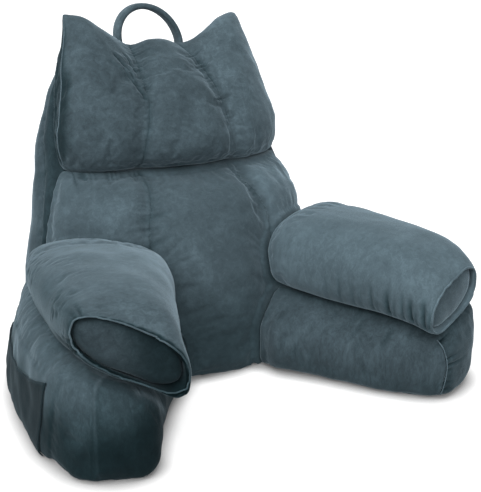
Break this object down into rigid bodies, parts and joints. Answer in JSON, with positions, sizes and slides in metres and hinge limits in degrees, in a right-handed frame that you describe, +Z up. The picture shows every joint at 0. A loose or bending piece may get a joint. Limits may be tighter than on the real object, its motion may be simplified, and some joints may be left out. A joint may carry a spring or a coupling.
{
  "type": "reading pillow",
  "caption": "Stuffed velvet backrest pillow with a head section, splayed bolster arms, stuffed sleeves on the arms, a side pocket and a carry loop.",
  "frame": {"origin": "on the floor under the middle of the backrest's seam line", "axes": "+Z up, -Y towards the seat side between the arms, +X towards the object's side away from the pocket"},
  "size_m": [0.8689, 0.6793, 0.705],
  "materials": {
    "velvet": "short-pile velvet",
    "velvet_dark": "short-pile velvet in a slightly deeper tone"
  },
  "bodies": {
    "root": {"lumbar_cushion": "velvet", "head_cushion": "velvet", "back_body": "velvet_dark", "handle": "velvet_dark", "arm_left": "velvet_dark", "arm_right": "velvet_dark", "arm_sleeve_left": "velvet", "arm_sleeve_right": "velvet", "arm_pad_left": "velvet_dark", "arm_pad_right": "velvet_dark", "side_pocket_left": "velvet"}
  },
  "joints": []
}
